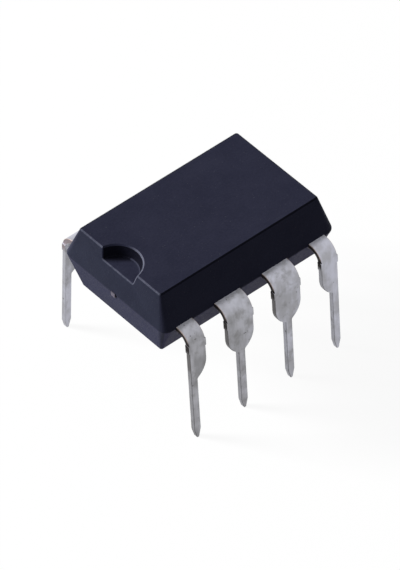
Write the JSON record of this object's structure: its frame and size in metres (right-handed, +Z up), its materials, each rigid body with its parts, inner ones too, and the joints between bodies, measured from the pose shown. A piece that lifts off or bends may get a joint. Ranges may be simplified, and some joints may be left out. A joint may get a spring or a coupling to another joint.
{
  "type": "dual in-line integrated circuit",
  "caption": "Dual in-line integrated circuit: a black moulded package with a half-round notch at one end, on two rows of formed, tinned leads.",
  "frame": {"origin": "under the middle of the package, in the plane of the lead tips", "axes": "+X along the package away from its notched end, +Y to leads 5 to 8, +Z up"},
  "size_m": [0.0092, 0.0086, 0.0072],
  "materials": {
    "mould_compound": "finely textured black epoxy moulding compound",
    "tinned_lead": "satin tin plate on copper alloy, stained, bare at the cut edges",
    "frame_alloy": "plain stamped copper alloy",
    "adhesive": "cured silver-filled adhesive",
    "silicon": "polished silicon",
    "bonding_gold": "drawn gold wire"
  },
  "bodies": {
    "root": {"package_body": "mould_compound", "lead_1": "tinned_lead", "lead_2": "tinned_lead", "lead_3": "tinned_lead", "lead_4": "tinned_lead", "lead_5": "tinned_lead", "lead_6": "tinned_lead", "lead_7": "tinned_lead", "lead_8": "tinned_lead", "die_pad": "frame_alloy", "die_attach": "adhesive", "die": "silicon", "bond_wire_1": "bonding_gold", "bond_wire_2": "bonding_gold", "bond_wire_3": "bonding_gold", "bond_wire_4": "bonding_gold", "bond_wire_5": "bonding_gold", "bond_wire_6": "bonding_gold", "bond_wire_7": "bonding_gold", "bond_wire_8": "bonding_gold"}
  },
  "joints": []
}
